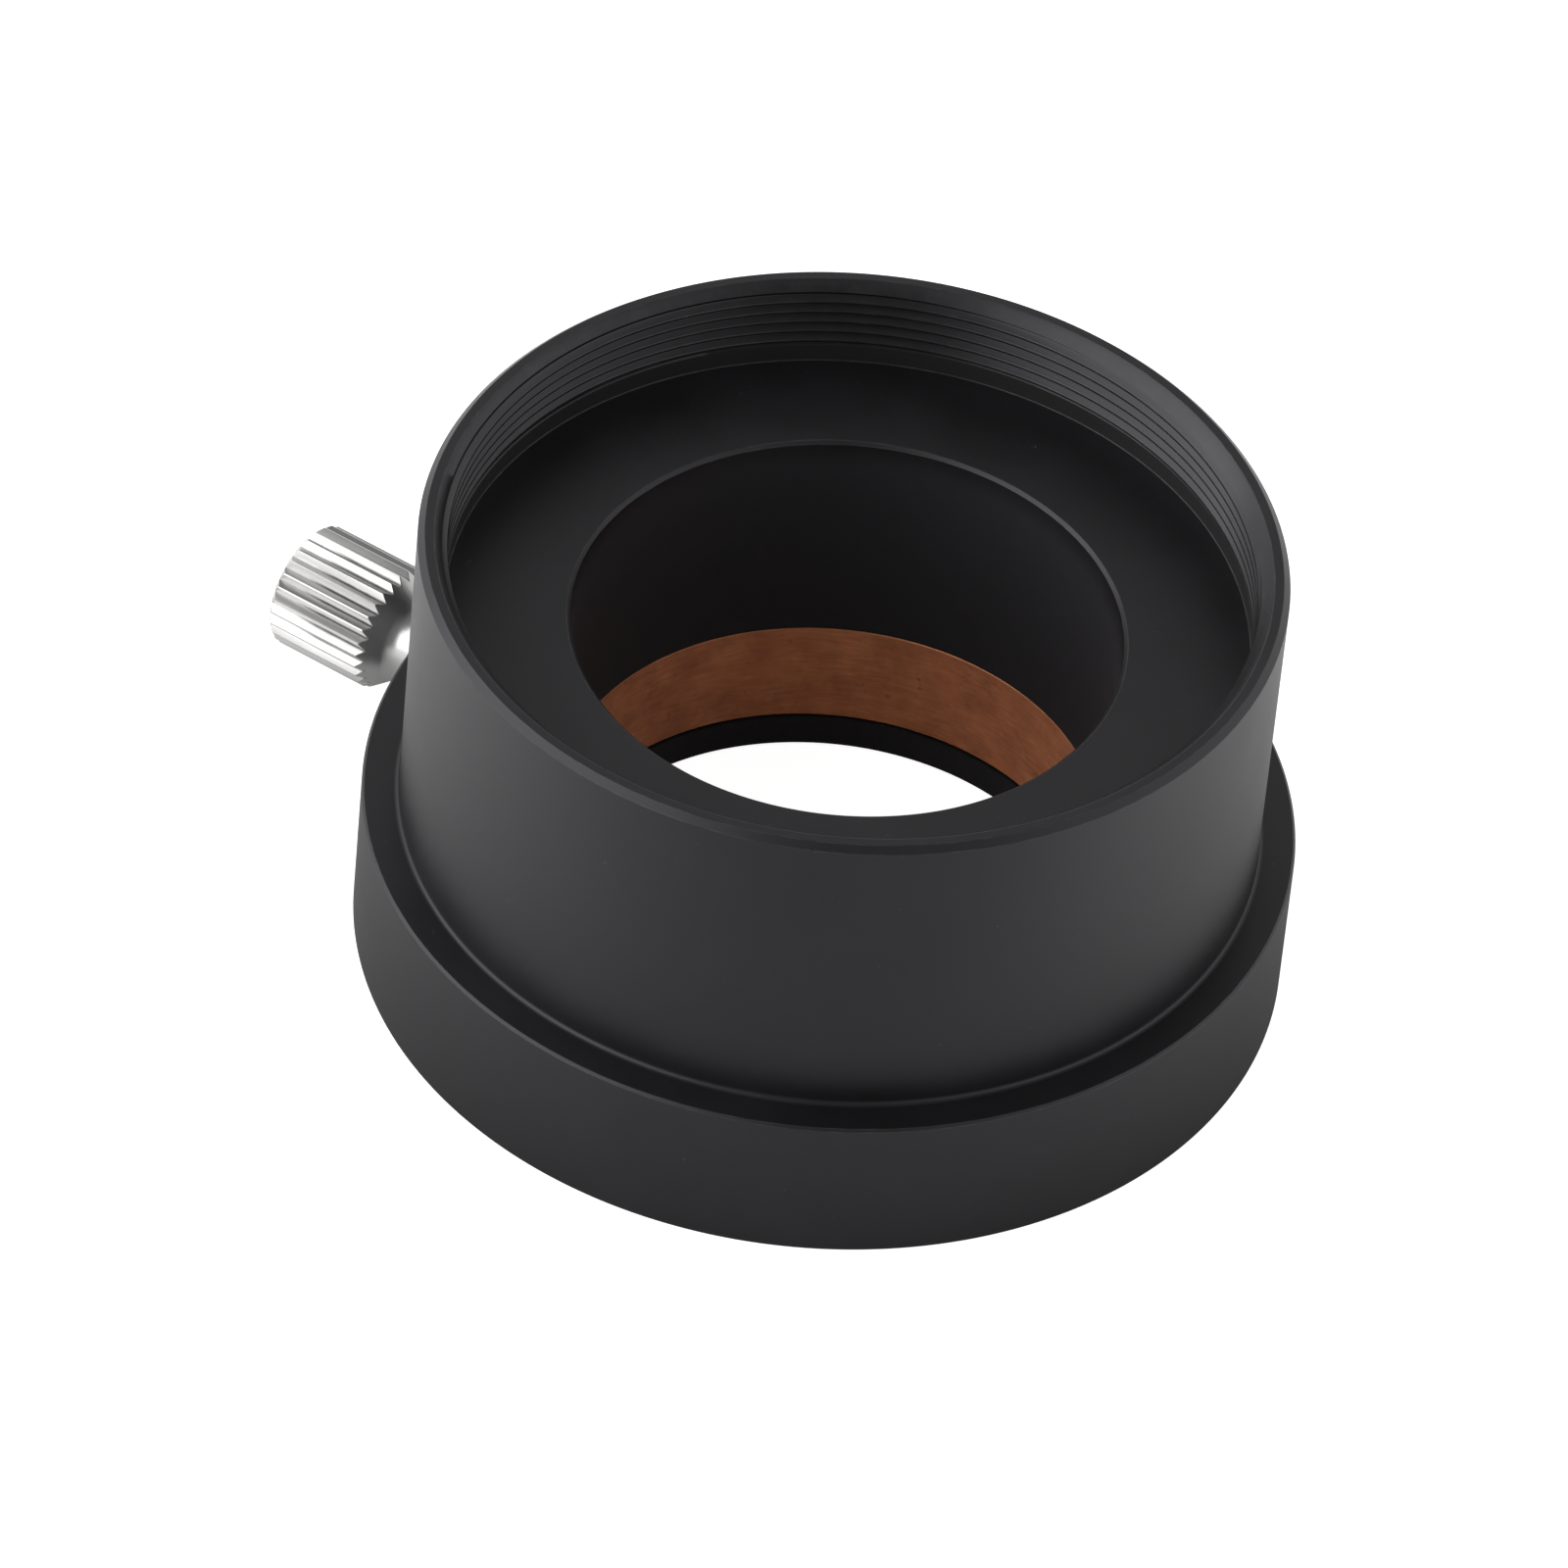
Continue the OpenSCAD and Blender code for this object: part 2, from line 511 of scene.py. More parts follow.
class Nodes:
    """Adds nodes to a tree."""

    def __init__(self, tree):
        self.tree = tree
        tree.nodes.clear()

    def add(self, kind, settings=None, values=None, output=0):
        """A node of a kind: its settings first, then the values or links of its sockets."""
        made = self.tree.nodes.new(kind)
        for name, setting in (settings or {}).items():
            if name == "stops":
                self.set_stops(made.color_ramp, setting)
            else:
                setattr(made, name, setting)
        for name, value in (values or {}).items():
            if isinstance(value, Signal):
                self.tree.links.new(value.socket, made.inputs[name])
            else:
                made.inputs[name].default_value = value
        return Signal(self, made.outputs[output]) if made.outputs else made

    @staticmethod
    def set_stops(ramp, stops):
        """Puts (position, grey) stops on a ramp."""
        while len(ramp.elements) < len(stops):
            ramp.elements.new(1.0)
        for element, (position, value) in zip(ramp.elements, stops):
            element.position = position
            element.color = (value, value, value, 1.0)

    def ramp(self, factor, *stops):
        """A factor reshaped by a ramp of greys."""
        return self.add("ShaderNodeValToRGB", {"stops": stops}, {"Fac": factor})

    def mix(self, factor, first, second):
        """Two colours mixed by a factor."""
        values = {0: factor, 6: opaque(first), 7: opaque(second)}
        return self.add("ShaderNodeMix", {"data_type": "RGBA"}, values, output=2)

    def mark(self, name):
        """A number stored on the mesh."""
        return self.add("ShaderNodeAttribute", {"attribute_name": name}, output=2)

    def place(self):
        """The point on the piece."""
        return self.add("ShaderNodeTexCoord", output=3)

    def measure(self, operation, *vectors):
        """A number worked out from vectors by a Vector Math node."""
        settings, values = {"operation": operation}, dict(enumerate(vectors))
        return self.add("ShaderNodeVectorMath", settings, values, output=1)

    def noise(self, vector, grain, detail=2.0, roughness=0.5):
        """Even noise whose features are about one grain across."""
        return self.add(
            "ShaderNodeTexNoise",
            {"noise_dimensions": "3D"},
            {"Vector": vector, "Scale": 1 / grain, "Detail": detail, "Roughness": roughness},
        )

    def lines(self, along, grain, detail=2.0):
        """Noise along one direction only, as a cutting tool leaves it."""
        return self.add(
            "ShaderNodeTexNoise",
            {"noise_dimensions": "1D"},
            {"W": along, "Scale": 1 / grain, "Detail": detail},
        )

    def bump(self, height):
        """A normal from a height in metres."""
        values = {"Height": height, "Strength": 1.0, "Distance": 1.0}
        return self.add("ShaderNodeBump", None, values)

    def surface(self, values):
        """The finished shader."""
        shader = self.add("ShaderNodeBsdfPrincipled", None, values)
        self.add("ShaderNodeOutputMaterial", None, {"Surface": shader})


def opaque(value):
    """A colour with its alpha, or a link as it is."""
    return value if isinstance(value, Signal) else (*tuple(value)[:3], 1.0)


def new_material(name):
    """An empty material and its nodes."""
    material = bpy.data.materials.new(name)
    material.use_nodes = True
    return material, Nodes(material.node_tree)


def anodised_black(finish):
    """Satin black anodising over fine turning marks, with rubbed edges and a dull bore.

    The marks on the mesh say where it is rubbed (stain) and where it is dull.
    """
    material, nodes = new_material("anodised_black")
    place, run, edge = nodes.place(), nodes.mark("run"), nodes.mark("edge")
    rubbed, dull = nodes.mark("stain"), nodes.mark("dull")
    cloud = nodes.noise(place, 6 * MM, 4)
    grain = nodes.noise(place, 0.06 * MM, 1)
    feed = nodes.lines(run, 0.07 * MM, 3)
    rubs = nodes.ramp(nodes.noise(place, 1.2 * MM, 5, 0.65), (0.42, 0.0), (0.75, 1.0))
    worn = edge * (0.05 + 0.25 * rubs) * nodes.ramp(rubbed, (0.0, 1.0), (THREAD_RUB, 0.35))
    deep, pale, thread = ([part * c for c in finish.black] for part in (0.72, 1.2, 0.3))
    tone = nodes.mix(nodes.ramp(cloud, (0.3, 0.0), (0.7, 1.0)), deep, pale)
    specks = nodes.ramp(nodes.noise(place, 0.35 * MM, 2), (0.74, 0.0), (0.8, 1.0))
    tone = nodes.mix(specks * 0.35, tone, finish.black_worn)
    tone = nodes.mix(nodes.ramp(rubbed, (0.0, 0.0), (THREAD_RUB, 0.6)), tone, thread)
    tone = nodes.mix(dull, tone, finish.black_bore)
    matt = nodes.ramp(rubbed, (THREAD_RUB, 0.0), (BAND_RUB, 1.0)) * (0.6 + 0.4 * cloud)
    tone = nodes.mix(matt, tone, finish.black_matt)
    tone = nodes.mix(worn, tone, finish.black_worn)
    gloss = finish.black_gloss - 0.05 + 0.1 * cloud + 0.05 * feed - 0.08 * worn
    gloss = gloss - 0.5 * rubbed + 0.6 * rubbed * rubbed + 0.2 * dull
    height = (0.0010 * MM) * feed + (0.0012 * MM) * grain
    nodes.surface(
        {
            "Base Color": tone,
            "Roughness": gloss,
            "Normal": nodes.bump(height),
            "IOR": 1.48,
            "Specular Tint": (0.94, 0.94, 1.0, 1.0),
        }
    )
    return material


def ring_copper(finish):
    """Turned copper-brown metal with tarnish, bright rubs and scratches round the ring."""
    material, nodes = new_material("ring_copper")
    place, edge = nodes.place(), nodes.mark("edge")
    stretched = nodes.add(
        "ShaderNodeMapping", {"vector_type": "POINT"}, {"Vector": place, "Scale": (1.0, 1.0, 9.0)}
    )
    streak = nodes.noise(stretched, 1.6 * MM, 6, 0.6)
    fine = nodes.noise(stretched, 0.35 * MM, 3, 0.6)
    cloud = nodes.noise(place, 3 * MM, 4)
    tarnish = nodes.ramp(nodes.noise(place, 1.1 * MM, 5, 0.7), (0.62, 0.0), (0.72, 1.0))
    tone = nodes.mix(nodes.ramp(streak, (0.35, 0.0), (0.7, 1.0)), finish.copper, finish.copper_pale)
    tone = nodes.mix(nodes.ramp(cloud, (0.3, 0.0), (0.75, 0.6)), tone, finish.copper)
    blotch = nodes.ramp(nodes.noise(place, 2.4 * MM, 5, 0.62), (0.36, 0.0), (0.66, 0.4))
    tone = nodes.mix(blotch, tone, finish.copper_dark)
    tone = nodes.mix(tarnish * 0.7, tone, finish.copper_dark)
    tone = nodes.mix(edge * 0.4, tone, finish.copper_pale)
    gloss = finish.copper_gloss - 0.1 + 0.2 * streak + 0.1 * tarnish
    height = (0.002 * MM) * fine + (0.003 * MM) * streak
    nodes.surface(
        {"Base Color": tone, "Metallic": 0.6, "Roughness": gloss, "Normal": nodes.bump(height)}
    )
    return material


def bright_chrome(finish):
    """Bright plating, with a little dirt in the flutes, painted shade along the foot of each flute,
    and fine waves.
    """
    material, nodes = new_material("bright_chrome")
    place, run, edge = nodes.place(), nodes.mark("run"), nodes.mark("edge")
    waves = nodes.noise(place, 0.8 * MM, 3)
    pits = nodes.ramp(nodes.noise(place, 0.22 * MM, 2), (0.68, 0.0), (0.78, 1.0))
    lines = nodes.lines(run, 0.09 * MM, 2)
    # Painted shade: the dark line along the foot of each flute, marked on the mesh, darkens the
    # base colour and roughens it
    painted_valley_shade = nodes.ramp(nodes.mark("stain"), (0.45, 0.0), (0.95, 1.0))
    dirt = (1.0 - edge) * nodes.ramp(waves, (0.45, 0.0), (0.8, 1.0))
    tone = nodes.mix(dirt * 0.25, finish.chrome, finish.chrome_dull)
    tone = nodes.mix(pits * 0.2, tone, finish.chrome_dull)
    tone = nodes.mix(painted_valley_shade * (0.6 + 0.4 * waves), tone, finish.painted_valley_shade)
    gloss = finish.chrome_gloss - 0.03 + 0.08 * waves + 0.1 * pits + 0.2 * painted_valley_shade
    height = (0.003 * MM) * waves + (0.0006 * MM) * lines
    nodes.surface(
        {"Base Color": tone, "Metallic": 1.0, "Roughness": gloss, "Normal": nodes.bump(height)}
    )
    return material


# Pieces


class ADAPTER_OT_body(bpy.types.Operator):
    """Build the turned body with its filter thread, ring groove and tapped hole"""

    bl_idname = "adapter.body"
    bl_label = "Turned body"

    def execute(self, context):
        nose, clamp = context.scene.adapter_nose, context.scene.adapter_clamp
        shell = Shell()
        low, high, section = self.thread(nose)

        def unrubbed(radius, height, edge):
            """A point of the outline, without wear if it lies in the fillet at the nose's root."""
            aside, above = radius - nose.barrel_radius, height - nose.flange_height
            reach = nose.root_fillet + SUPPORT
            inside = -SUPPORT < aside < reach and -SUPPORT < above < reach
            return radius, height, 0.0 if inside else edge

        outline = [unrubbed(*point) for point in rounded_outline(self.corners(nose, clamp))]
        rings = shell.turned(outline, even_angles(BODY_COLUMNS), upright)
        core, floor = nose.thread_root - nose.thread_depth, low - nose.band_height

        def run_out(radius, height):
            """Keeps the thread inside its lead-in at the top and its run-out at the foot."""
            return min(max(radius, nose.thread_root - (high - height)), core + height - low)

        foot, mouth = shell.helix(
            BODY_COLUMNS, nose.thread_pitch, low, high, section, upright, run_out
        )
        for vertex in rings[0]:
            shell.bm.verts.remove(vertex)
        shell.skin([mouth] + rings[1:] + [foot])

        def rubbed(place):
            """How rubbed a place is: the recess's plain band most, the thread above it less."""
            wall = core - SUPPORT < place.xy.length < nose.thread_root + SUPPORT
            if not wall or place.z < floor + SUPPORT:
                return 0.0
            return BAND_RUB if place.z < low + 0.1 * MM else THREAD_RUB

        def dulled(place):
            """How dull a place is: the wall of the bore, which is finished last and left matt."""
            return float(abs(place.xy.length - nose.bore_radius) < SUPPORT and place.z < floor)

        shell.marked("stain", rubbed)
        shell.marked("dull", dulled)
        whole = bpy.data.objects.new("whole", shell.mesh("whole"))
        drill = bpy.data.objects.new("drill", self.drill(clamp))
        mesh = self.drilled(context, whole, drill)
        finished_piece(
            "turned_body",
            mesh,
            "body",
            anodised_black(context.scene.adapter_finish),
        )
        return {"FINISHED"}

    @staticmethod
    def thread(nose):
        """Lowest and highest thread heights and the section of its ridges."""
        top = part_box("body")[1].z
        low = top - nose.floor_depth + nose.band_height
        section = thread_section(nose.thread_root, nose.thread_root - nose.thread_depth)
        return low, top - nose.lead_in, section

    @staticmethod
    def corners(nose, clamp):
        """Corners of the turned outline, from the top of the thread round to its foot."""
        bottom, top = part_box("body")
        ring_low, ring_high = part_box("compression_ring")
        wide = -bottom.y
        groove_low, groove_high = ring_low.z - clamp.side_gap, ring_high.z + clamp.side_gap
        floor = top.z - nose.floor_depth
        core = nose.thread_root - nose.thread_depth
        soft = nose.edge_rounding
        return [
            (nose.thread_root, top.z - nose.lead_in, 0),
            (nose.thread_root + nose.lead_in, top.z, soft),
            (nose.barrel_radius - nose.rim_bevel, top.z, soft),
            (nose.barrel_radius, top.z - nose.rim_bevel, soft),
            (nose.barrel_radius, nose.flange_height, nose.root_fillet),
            (wide - nose.flange_bevel, nose.flange_height, soft),
            (wide, nose.flange_height - nose.flange_bevel, soft),
            (wide, nose.flange_bevel, soft),
            (wide - nose.flange_bevel, 0, soft),
            (nose.bore_radius + nose.foot_bevel, 0, soft),
            (nose.bore_radius, nose.foot_bevel, soft),
            (nose.bore_radius, groove_low, soft),
            (clamp.groove_radius, groove_low, soft),
            (clamp.groove_radius, groove_high, soft),
            (nose.bore_radius, groove_high, soft),
            (nose.bore_radius, floor - nose.mouth_depth, 0),
            (nose.bore_radius + nose.mouth_flare, floor - nose.mouth_bevel, soft),
            (nose.bore_radius + nose.mouth_flare + nose.mouth_bevel, floor, soft),
            (core, floor, soft),
            (core, floor + nose.band_height - SUPPORT, 0),
        ]

    @staticmethod
    def drill(clamp):
        """The shape that cuts the tapped hole and its countersink."""
        wide = -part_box("body")[0].y
        beyond = 1.0 * MM
        cone = clamp.hole_bevel + beyond
        outline = [
            (clamp.hole_radius, clamp.groove_radius - beyond / 2, 0.0),
            (clamp.hole_radius, wide - clamp.hole_bevel, 0.0),
            (clamp.hole_radius + cone, wide - clamp.hole_bevel + cone, 0.0),
        ]
        shell = Shell()
        rings = shell.turned(outline, even_angles(HOLE_COLUMNS), along_screw)
        shell.skin(rings)
        shell.cap(rings[0])
        shell.cap(rings[-1])
        return shell.mesh("drill")

    @staticmethod
    def drilled(context, whole, drill):
        """The whole shape with the drill's shape cut out of it."""
        for made in (whole, drill):
            context.scene.collection.objects.link(made)
        cut = whole.modifiers.new("hole", "BOOLEAN")
        cut.operation = "DIFFERENCE"
        cut.solver = "MANIFOLD"
        cut.object = drill
        shaped = whole.evaluated_get(context.evaluated_depsgraph_get())
        mesh = bpy.data.meshes.new_from_object(shaped)
        mesh.name = "turned_body"
        for made in (whole, drill):
            spent = made.data
            bpy.data.objects.remove(made)
            bpy.data.meshes.remove(spent)
        return mesh


class ADAPTER_OT_ring(bpy.types.Operator):
    """Build the split clamping ring"""

    bl_idname = "adapter.ring"
    bl_label = "Clamping ring"

    def execute(self, context):
        clamp = context.scene.adapter_clamp
        low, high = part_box("compression_ring")
        outer = high.y
        inner = outer - clamp.thickness
        middle = ((inner + outer) / 2, (low.z + high.z) / 2)
        soft = clamp.ring_rounding
        corners = [
            (middle[0], low.z, 0),
            (outer, low.z, soft),
            (outer, high.z, soft),
            (inner, high.z, soft),
            (inner, low.z, soft),
            (middle[0], low.z, 0),
        ]
        section = rounded_outline(corners)[:-1]
        shell = Shell()
        # How far each end's sections stand back from it, and how much they shrink to round it
        stations = [(0.0, soft)]
        stations += [(soft * (1 - math.cos(a)), soft * (1 - math.sin(a))) for a in (0.5, 1.0)]
        stations += [(soft, 0.0)]
        rings = []
        for inset, shrink in stations:
            rings.append(self.station(shell, section, middle, clamp.split / 2 + inset, shrink, 0.0))
        for column in range(1, RING_COLUMNS):
            at = column / RING_COLUMNS
            rings.append(self.station(shell, section, middle, clamp.split / 2 + soft, 0.0, at))
        for inset, shrink in reversed(stations):
            rings.append(self.station(shell, section, middle, clamp.split / 2 + inset, shrink, 1.0))
        shell.skin(rings)
        shell.cap(rings[0])
        shell.cap(rings[-1])
        mesh = shell.mesh("clamping_ring")
        finished_piece(
            "clamping_ring",
            mesh,
            "compression_ring",
            ring_copper(context.scene.adapter_finish),
        )
        return {"FINISHED"}

    @staticmethod
    def station(shell, section, middle, half_gap, shrink, at):
        """The ring's section at a share of the way round, shrunk towards its middle."""
        made = []
        for radius, height, edge in section:
            towards = Vector((radius - middle[0], height - middle[1]))
            r = middle[0] + math.copysign(max(abs(towards.x) - shrink, 0), towards.x)
            z = middle[1] + math.copysign(max(abs(towards.y) - shrink, 0), towards.y)
            start = math.asin(half_gap / r)
            angle = start + (TURN - 2 * start) * at
            made.append(shell.vertex(upright(r, angle, z), max(edge, 1.0 if shrink else 0.0)))
        return made


class ADAPTER_OT_thumbscrew(bpy.types.Operator):
    """Build the thumbscrew: fluted head, conical shoulder, neck, threaded shank and tip"""

    bl_idname = "adapter.thumbscrew"
    bl_label = "Thumbscrew"

    # Places of the columns over one flute, as shares of its width from the valley
    FLUTE_SHARES = (0.0, 0.03, 0.22, 0.415, 0.45, 0.5, 0.55, 0.585, 0.78, 0.97)
    # Distances from the head's edges to the rows beside them, and the depth of the roundings
    FAR, BESIDE, LIP, NICK = 0.09 * MM, 0.05 * MM, 0.02 * MM, 0.004 * MM
    # Radii of the innermost rings on the flat ends
    HUB, CENTRE = 2.2 * MM, 0.3 * MM

    def execute(self, context):
        size = context.scene.adapter_screw
        outer = -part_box("thumbscrew")[0].x
        tip = -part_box("thumbscrew")[1].x
        shell = Shell()
        angles = [
            TURN * (flute + part) / size.flutes
            for flute in range(size.flutes)
            for part in self.FLUTE_SHARES
        ]
        head_at = outer - size.head_length
        shoulder_at = head_at - size.shoulder_length
        neck_at = shoulder_at - size.neck_length
        inner = self.shank(shell, size, tip, neck_at)
        neck = self.neck(shell, size, neck_at, shoulder_at, angles)
        head = self.head(shell, size, shoulder_at, outer, angles)
        shell.skin(neck + head)
        self.annulus(shell, inner, neck[0])
        valley = self.star(size, 0.0)

        def along_foot(place):
            """1 in the foot of a flute and 0 elsewhere."""
            radius = math.hypot(place.y, place.z - SCREW_HEIGHT)
            return float(abs(radius - valley) < SUPPORT and -place.x < outer - size.head_bevel)

        # Marks the foot of each flute for the painted shade there
        shell.marked("stain", along_foot)
        mesh = shell.mesh("thumbscrew_bright")
        finished_piece(
            "thumbscrew_bright",
            mesh,
            "thumbscrew",
            bright_chrome(context.scene.adapter_finish),
        )
        return {"FINISHED"}

    def star(self, size, part):
        """Radius of the fluted section at a share of a flute's width from its valley."""
        part = min(part, 1 - part)
        reach = math.pi / size.flutes
        valley, peak = size.head_radius - size.flute_depth, size.head_radius + size.crest_over
        angle = 2 * reach * part
        flank = (
            valley
            * peak
            * math.sin(reach)
            / (peak * math.sin(reach - angle) + valley * math.sin(angle))
        )
        return min(flank, size.head_radius)

    def shank(self, shell, size, tip, neck_at):
        """Tip and threaded shank. Returns the ring at the neck."""
        angles = even_angles(SHANK_COLUMNS)
        root = size.shank_radius - size.shank_depth
        start = tip + size.tip_length
        rounding, lead, flat = 0.18 * MM, 0.15 * MM, 0.1 * MM
        corners = [
            (self.CENTRE, tip, 0),
            (size.tip_radius, tip, rounding),
            (size.tip_radius, start, SUPPORT),
            (root, start + flat, 0),
        ]
        rings = shell.turned(rounded_outline(corners), angles, along_screw)
        shell.cap(rings[0])
        # Half a pitch on, so that the ridge comes first
        section = sorted(
            ((part + 0.5) % 1.0, radius, edge)
            for part, radius, edge in thread_section(size.shank_radius, root)
        )
        low, high = start + lead, neck_at - flat

        def run_in(radius, distance):
            """Lets the thread rise from the tip's end."""
            return min(radius, root + max(distance - low, 0))

        foot, top = shell.helix(
            SHANK_COLUMNS, size.shank_pitch, low, high, section, along_screw, run_in
        )
        shell.skin(rings + [foot])
        seat = [shell.vertex(along_screw(root, angle, high), 0.0, high) for angle in angles]
        end = [shell.vertex(along_screw(root, angle, neck_at), 0.0, neck_at) for angle in angles]
        shell.skin([top, seat, end])
        return end

    def neck(self, shell, size, neck_at, shoulder_at, angles):
        """The polished neck, from the face round the shank to the cone."""
        face, soft = 0.5 * MM, 0.2 * MM
        corners = [
            (size.neck_radius - face, neck_at, 0),
            (size.neck_radius, neck_at, soft),
            (size.neck_radius, shoulder_at, size.neck_fillet),
            (size.head_radius, shoulder_at + size.shoulder_length, 0),
        ]
        return shell.turned(rounded_outline(corners)[:-1], angles, along_screw)

    def head(self, shell, size, shoulder_at, outer, angles):
        """Cone, flutes, bevel and end face. The rows bend with the line between flutes and cone."""
        slope = size.shoulder_length / (size.head_radius - size.neck_radius)
        parts = [part for _ in range(size.flutes) for part in self.FLUTE_SHARES]
        bevel_at = outer - size.head_bevel
        rim = size.head_radius - size.head_bevel
        columns = []
        for angle, part in zip(angles, parts):
            radius = self.star(size, part)
            crest = (radius - size.head_radius + size.flute_depth) / size.flute_depth
            meet = shoulder_at + (radius - size.neck_radius) * slope
            half = 0.5 * (meet - shoulder_at)
            turn = min(bevel_at + size.head_radius - radius, outer - 2 * self.LIP)
            end = min(radius, rim)
            line = [
                (radius - half / slope, meet - half, 0.3),
                (radius - self.FAR / slope, meet - self.FAR, 0.6),
                (radius - SUPPORT / slope, meet - SUPPORT, 1.0),
                (radius - self.NICK, meet + self.NICK, 1.0),
                (radius, meet + self.BESIDE, crest),
                (radius, (meet + turn) / 2, crest),
                (radius, turn - self.BESIDE, crest),
                (radius - self.NICK, turn, 1.0),
                (end + self.LIP if radius > rim else radius - self.NICK, outer - self.LIP, 1.0),
                (end - self.LIP, outer, 1.0),
                (end - 5 * self.LIP, outer, 0.3),
                (self.HUB, outer, 0.0),
                (self.CENTRE, outer, 0.0),
            ]
            column = []
            for r, distance, edge in line:
                run = distance if r > self.HUB else outer + size.head_radius - r
                column.append(shell.vertex(along_screw(r, angle, distance), edge, run))
            columns.append(column)
        rows = [list(row) for row in zip(*columns)]
        shell.cap(rows[-1])
        return rows

    def annulus(self, shell, inner, outer):
        """The flat face between shank and neck, whose rings differ in their number of vertices."""
        per = len(outer) // len(inner)
        for index, vertex in enumerate(inner):
            following = inner[(index + 1) % len(inner)]
            arc = [outer[(index * per + k) % len(outer)] for k in range(per + 1)]
            shell.bm.faces.new([vertex] + arc + [following])


class ADAPTER_OT_stage(bpy.types.Operator):
    """Build the floor, the lights, the surroundings and the camera"""

    bl_idname = "adapter.stage"
    bl_label = "Stage"

    # Name, place in metres round the object, width and height in metres, power in watts.
    # The places turn with the camera.
    LIGHTS = (
        ("light_left", (-0.64, -0.16, 0.42), (1.2, 0.7), 5.6),
        ("light_right", (0.66, -0.12, 0.34), (0.8, 0.65), 0.55),
    )

    def execute(self, context):
        look = context.scene.adapter_stage
        self.floor(context, look)
        self.lights(context, look)
        self.surroundings(context, look)
        self.camera(context, look)
        return {"FINISHED"}

    @staticmethod
    def floor(context, look):
        """A pale floor under the flange that keeps the object's shadow.

        What the metals mirror of it is darker near the object, a painted shadow, and before it,
        painted shade on the photographer's side.
        """
        half, drop = 1.5, 0.02 * MM
        mesh = bpy.data.meshes.new("floor")
        corners = [(-half, -half, 0), (half, -half, 0), (half, half, 0), (-half, half, 0)]
        mesh.from_pydata(corners, [], [(0, 1, 2, 3)])
        material, nodes = new_material("floor_paper")
        tone = (look.floor_tone, look.floor_tone, look.floor_tone, 1.0)
        paper = nodes.add("ShaderNodeBsdfDiffuse", None, {"Color": tone})
        seen = nodes.add("ShaderNodeLightPath")
        mirrored = nodes.add("ShaderNodeLightPath", output="Is Glossy Ray")
        through = nodes.add("ShaderNodeLightPath", output="Is Transmission Ray")
        place = nodes.place()
        away = nodes.measure("LENGTH", place)
        # Painted shadow: the white that metals mirror of the floor fades towards the object
        near = nodes.ramp(away, (look.near_from, 0.0), (look.near_to, 1.0))
        # Painted shade: that white is dimmed before the object, on the photographer's side
        forward = Matrix.Rotation(look.azimuth, 3, "Z") @ Vector((0, -1, 0))
        before = nodes.measure("DOT_PRODUCT", place, forward)
        front = nodes.ramp(before, (look.front_from, 1.0), (look.front_to, look.front))
        strength = seen * look.floor_glow + (mirrored + through) * near * front * look.floor_mirror
        glow = nodes.add("ShaderNodeEmission", None, {"Color": WHITE, "Strength": 1.0})
        added = nodes.add("ShaderNodeMixShader", None, {0: strength, 2: glow})
        both = nodes.add("ShaderNodeAddShader", None, {0: paper, 1: added})
        nodes.add("ShaderNodeOutputMaterial", None, {"Surface": both})
        mesh.materials.append(material)
        floor = bpy.data.objects.new("floor", mesh)
        floor.location.z = -drop
        context.scene.collection.objects.link(floor)

    def lights(self, context, look):
        """Soft lamps on both sides, turned to the object."""
        target = Vector((0, 0, 0.015))
        for name, place, size, power in self.LIGHTS:
            lamp = bpy.data.lights.new(name, "AREA")
            lamp.shape = "RECTANGLE"
            lamp.size, lamp.size_y = size
            lamp.energy = power
            light = bpy.data.objects.new(name, lamp)
            context.scene.collection.objects.link(light)
            turned = Matrix.Rotation(look.azimuth, 4, "Z")
            light.location = turned @ Vector(place)
            aim = target - light.location
            light.rotation_euler = aim.to_track_quat("-Z", "Y").to_euler()

    @staticmethod
    def surroundings(context, look):
        """White sides, a pale back, and a dark slot on the photographer's side.

        The ceiling is dim only in what the metals mirror. What the camera sees is white.
        """
        world = bpy.data.worlds.new("surroundings")
        world.use_nodes = True
        context.scene.world = world
        nodes = Nodes(world.node_tree)
        seen = nodes.add("ShaderNodeLightPath")
        mirrored = nodes.add("ShaderNodeLightPath", output="Is Glossy Ray")
        through = nodes.add("ShaderNodeLightPath", output="Is Transmission Ray")
        direction = nodes.add("ShaderNodeTexCoord")
        turned = Matrix.Rotation(look.azimuth, 3, "Z")

        def along(axis):
            """How far the direction points along an axis, which turns with the camera."""
            return nodes.measure("DOT_PRODUCT", direction, turned @ Vector(axis))

        aside, away, up = along((1, 0, 0)), along((-look.back_left, 1, 0)), along((0, 0, 1))
        side = nodes.ramp(aside * aside, (look.slot_from**2, 0.0), (look.slot_to**2, 1.0))
        middle = nodes.ramp(away, (look.back_from, 0.0), (look.back_to, look.back))
        ceiling = nodes.ramp(up, (look.ceiling_from, 1.0), (look.ceiling_to, look.ceiling))
        level = middle + (1.0 - middle) * side
        lit = level * ceiling

        def glow(strength):
            """An even white of one strength."""
            values = {"Color": WHITE, "Strength": strength}
            return nodes.add("ShaderNodeBackground", None, values)

        def between(factor, first, second):
            """Two of them, mixed by a factor."""
            return nodes.add("ShaderNodeMixShader", None, {0: factor, 1: first, 2: second})

        fill = between(level, glow(look.fill * look.slot_fill), glow(look.fill))
        mirror = between(lit, glow(look.shade), glow(1.0))
        light = between(mirrored, fill, mirror)
        shown = between(seen + through, light, glow(1.0))
        nodes.add("ShaderNodeOutputWorld", None, {"Surface": shown})

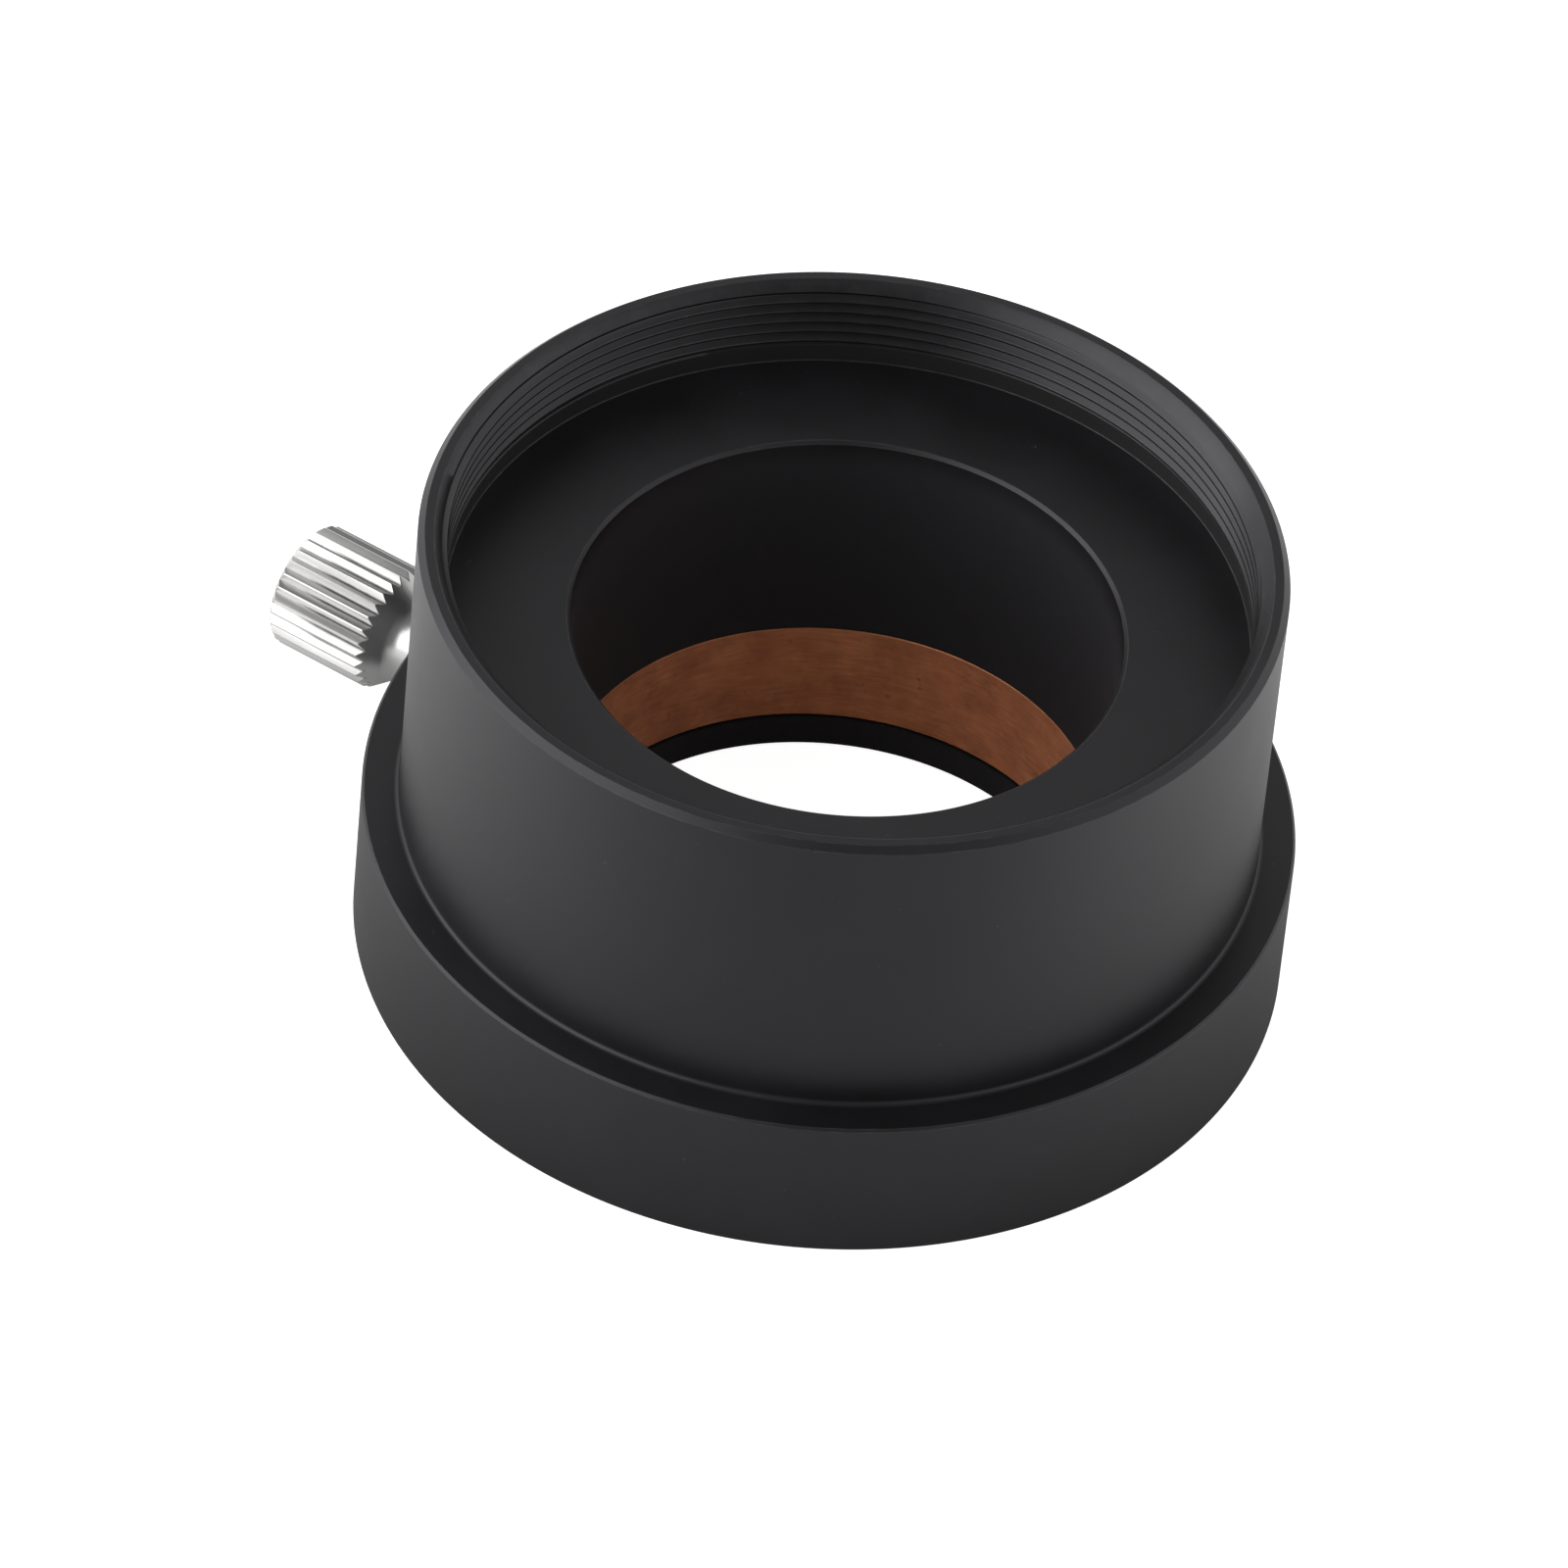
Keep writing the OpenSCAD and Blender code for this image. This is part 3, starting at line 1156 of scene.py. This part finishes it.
    @staticmethod
    def camera(context, look):
        """The camera at the photograph's angle, without shift."""
        lens = bpy.data.cameras.new("camera")
        lens.sensor_width = 36.0
        lens.lens = look.lens
        camera = bpy.data.objects.new("camera", lens)
        context.scene.collection.objects.link(camera)
        camera.matrix_world = (
            Matrix.Rotation(look.azimuth, 4, "Z")
            @ Matrix.Rotation(math.pi / 2 - look.elevation, 4, "X")
            @ Matrix.Rotation(look.roll, 4, "Z")
            @ Matrix.Translation((-look.aside, look.above, look.distance))
        )
        context.scene.camera = camera
        context.scene.view_settings.view_transform = "Standard"


class ADAPTER_PT_panel(bpy.types.Panel):
    """Lists the pieces in the sidebar"""

    bl_idname = "ADAPTER_PT_panel"
    bl_label = "Eyepiece adapter"
    bl_space_type = "VIEW_3D"
    bl_region_type = "UI"
    bl_category = "Adapter"

    def draw(self, context):
        for group in GROUPS:
            box = self.layout.box()
            settings = getattr(context.scene, group)
            for name in settings.__annotations__:
                box.prop(settings, name)
        for operator in OPERATORS:
            self.layout.operator(operator.bl_idname)


GROUPS = {
    "adapter_nose": NoseSizes,
    "adapter_clamp": ClampSizes,
    "adapter_screw": ThumbscrewSizes,
    "adapter_finish": Finishes,
    "adapter_stage": StageLook,
}
OPERATORS = (ADAPTER_OT_body, ADAPTER_OT_ring, ADAPTER_OT_thumbscrew, ADAPTER_OT_stage)
CLASSES = (*GROUPS.values(), *OPERATORS, ADAPTER_PT_panel)


def register():
    """Makes the settings, operators and panel known."""
    for made in CLASSES:
        bpy.utils.register_class(made)
    for name, group in GROUPS.items():
        setattr(bpy.types.Scene, name, bpy.props.PointerProperty(type=group))


def unregister():
    """Takes them out again."""
    for name in GROUPS:
        delattr(bpy.types.Scene, name)
    for made in reversed(CLASSES):
        bpy.utils.unregister_class(made)


def main():
    """Builds every piece in order."""
    register()
    bpy.ops.adapter.body()
    bpy.ops.adapter.ring()
    bpy.ops.adapter.thumbscrew()
    bpy.ops.adapter.stage()


if __name__ == "__main__":
    main()
